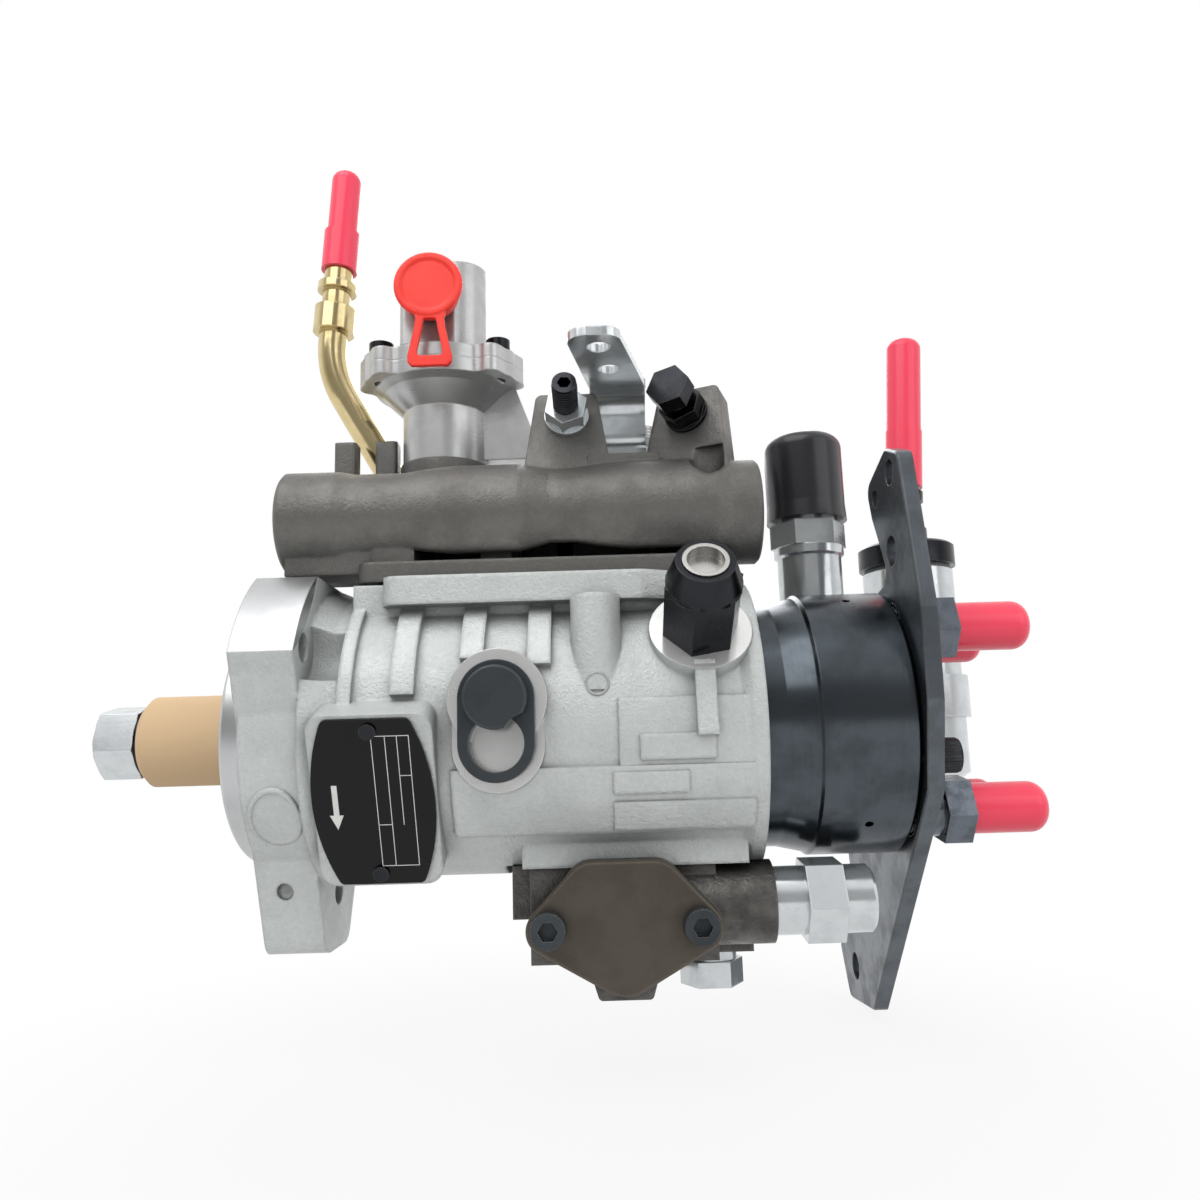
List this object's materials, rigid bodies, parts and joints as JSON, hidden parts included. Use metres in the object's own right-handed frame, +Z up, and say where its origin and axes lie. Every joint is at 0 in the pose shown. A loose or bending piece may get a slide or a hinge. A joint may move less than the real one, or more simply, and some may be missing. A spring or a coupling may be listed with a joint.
{
  "type": "diesel injection pump",
  "caption": "Rotary distributor fuel injection pump with lobed mounting flange, governor cover, boost control, advance device, rear bracket plate and capped axial outlets",
  "frame": {"origin": "on the drive axis in the mounting face of the flange", "axes": "+X along the drive axis from the drive end to the outlets, +Z up to the governor cover, +Y away from the side that the picture shows"},
  "size_m": [0.3134, 0.1504, 0.3287],
  "materials": {
    "cast_aluminium": "sand cast, fine grain",
    "cover_casting": "brown grey cast, coated",
    "machined_aluminium": "fine cast and turned",
    "black_steel": "black oxide",
    "plate_steel": "blue black, bare brown edges",
    "zinc_steel": "bright zinc",
    "bare_steel": "ground steel",
    "spring_steel": "oiled spring wire",
    "yellow_plate": "yellow zinc",
    "cast_iron": "rough, dark",
    "phosphate_steel": "brown phosphate",
    "red_vinyl": "soft vinyl",
    "red_cap": "moulded",
    "black_vinyl": "glossy soft vinyl",
    "kraft_paper": "kraft wrap",
    "plate_black": "gloss black, unlettered",
    "seal_rubber": "moulded"
  },
  "bodies": {
    "housing": {"pump_housing": "cast_aluminium", "governor_cover": "cover_casting", "boost_body": "machined_aluminium", "boost_cover": "machined_aluminium", "hydraulic_head": "black_steel", "lock_spacer": "black_steel", "lock_plug": "black_steel", "inlet_adapter": "black_steel", "stop_screws": "black_steel", "cover_screws": "black_steel", "plate_screws": "black_steel", "advance_screws": "black_steel", "canister_cap": "black_steel", "rear_plate": "plate_steel", "delivery_holders": "zinc_steel", "shutoff_solenoid": "zinc_steel", "cold_advance_solenoid": "zinc_steel", "stop_nuts": "zinc_steel", "canister": "zinc_steel", "advance_bolts": "zinc_steel", "canister_strap": "zinc_steel", "shaft_bearing": "bare_steel", "transfer_liner": "bare_steel", "inlet_insert": "bare_steel", "plate_rivets": "bare_steel", "governor_spring": "spring_steel", "advance_spring": "spring_steel", "boost_spring": "spring_steel", "throttle_spring": "spring_steel", "return_pipe": "yellow_plate", "advance_body": "cast_iron", "advance_cover": "phosphate_steel", "outlet_caps": "red_vinyl", "pipe_caps": "red_vinyl", "boost_tab_cap": "red_cap", "solenoid_cap": "black_vinyl", "data_plate": "plate_black", "shaft_seal": "seal_rubber"},
    "drive": {"drive_shaft": "bare_steel", "shaft_nut": "zinc_steel", "spring_washer": "black_steel", "paper_sleeve": "kraft_paper", "transfer_rotor": "bare_steel", "weight_carrier": "bare_steel", "distributor_rotor": "bare_steel", "roller_shoes": "bare_steel"},
    "thrust_sleeve": {"thrust_sleeve": "bare_steel"},
    "flyweight_1": {"flyweight_1": "bare_steel"},
    "flyweight_2": {"flyweight_2": "bare_steel"},
    "flyweight_3": {"flyweight_3": "bare_steel"},
    "governor_arm": {"governor_arm": "bare_steel"},
    "metering_valve": {"metering_valve": "bare_steel"},
    "cam_ring": {"cam_ring": "bare_steel"},
    "advance_piston": {"advance_piston": "bare_steel"},
    "throttle": {"throttle_lever": "zinc_steel", "throttle_shaft": "bare_steel", "lever_nut": "zinc_steel"},
    "boost_pushrod": {"boost_pushrod": "bare_steel"},
    "solenoid_plunger": {"solenoid_plunger": "bare_steel"},
    "delivery_valves": {"delivery_valves": "bare_steel"}
  },
  "joints": [
    {"name": "shaft_spin", "type": "hinge", "parent": "housing", "child": "drive", "pos_m": [0, 0, 0], "axis": [1, 0, 0], "continuous": true},
    {"name": "sleeve_slide", "type": "slide", "parent": "drive", "child": "thrust_sleeve", "axis": [1, 0, 0], "range_m": [0, 0.0022]},
    {"name": "weight_1_swing", "type": "hinge", "parent": "drive", "child": "flyweight_1", "pos_m": [0.045, 0, 0.021], "axis": [0, -1, 0], "range_deg": [0, 17.3]},
    {"name": "weight_2_swing", "type": "hinge", "parent": "drive", "child": "flyweight_2", "pos_m": [0.045, -0.01819, -0.0105], "axis": [0, 0.5, -0.866], "range_deg": [0, 17.3]},
    {"name": "weight_3_swing", "type": "hinge", "parent": "drive", "child": "flyweight_3", "pos_m": [0.045, 0.01819, -0.0105], "axis": [0, 0.5, 0.866], "range_deg": [0, 17.3]},
    {"name": "arm_swing", "type": "hinge", "parent": "housing", "child": "governor_arm", "pos_m": [0.074, 0, 0.043], "axis": [0, -1, 0], "range_deg": [0, 3.3]},
    {"name": "metering_turn", "type": "hinge", "parent": "housing", "child": "metering_valve", "pos_m": [0.136, 0, 0.03], "axis": [0, 0, 1], "range_deg": [0, 11.5]},
    {"name": "cam_turn", "type": "hinge", "parent": "housing", "child": "cam_ring", "pos_m": [0.112, 0, 0], "axis": [1, 0, 0], "range_deg": [0, 8]},
    {"name": "advance_slide", "type": "slide", "parent": "housing", "child": "advance_piston", "axis": [0, 1, 0], "range_m": [0, 0.0083], "deforming": ["advance_spring"]},
    {"name": "throttle_swing", "type": "hinge", "parent": "housing", "child": "throttle", "pos_m": [0.126, 0.022, 0.098], "axis": [0, 0, 1], "range_deg": [0, 38], "stiffness_Nm_per_rad": 0.3, "springref_deg": -28.65, "deforming": ["governor_spring", "throttle_spring"]},
    {"name": "boost_travel", "type": "slide", "parent": "housing", "child": "boost_pushrod", "axis": [0, 0, -1], "range_m": [0, 0.004], "stiffness_N_per_m": 3000, "springref_m": -0.001, "deforming": ["boost_spring"]},
    {"name": "shutoff_lift", "type": "slide", "parent": "housing", "child": "solenoid_plunger", "axis": [0, 0, 1], "range_m": [0, 0.0015], "stiffness_N_per_m": 1500, "springref_m": -0.001},
    {"name": "delivery_lift", "type": "slide", "parent": "housing", "child": "delivery_valves", "axis": [1, 0, 0], "range_m": [0, 0.002], "stiffness_N_per_m": 3000, "springref_m": -0.001}
  ],
  "couplings": [
    {"joint": "weight_1_swing", "follows": "sleeve_slide", "rad_per_m": 136},
    {"joint": "weight_2_swing", "follows": "sleeve_slide", "rad_per_m": 136},
    {"joint": "weight_3_swing", "follows": "sleeve_slide", "rad_per_m": 136},
    {"joint": "arm_swing", "follows": "sleeve_slide", "rad_per_m": 25.8},
    {"joint": "metering_turn", "follows": "sleeve_slide", "rad_per_m": 90},
    {"joint": "advance_slide", "follows": "cam_turn", "m_per_rad": 0.058}
  ]
}
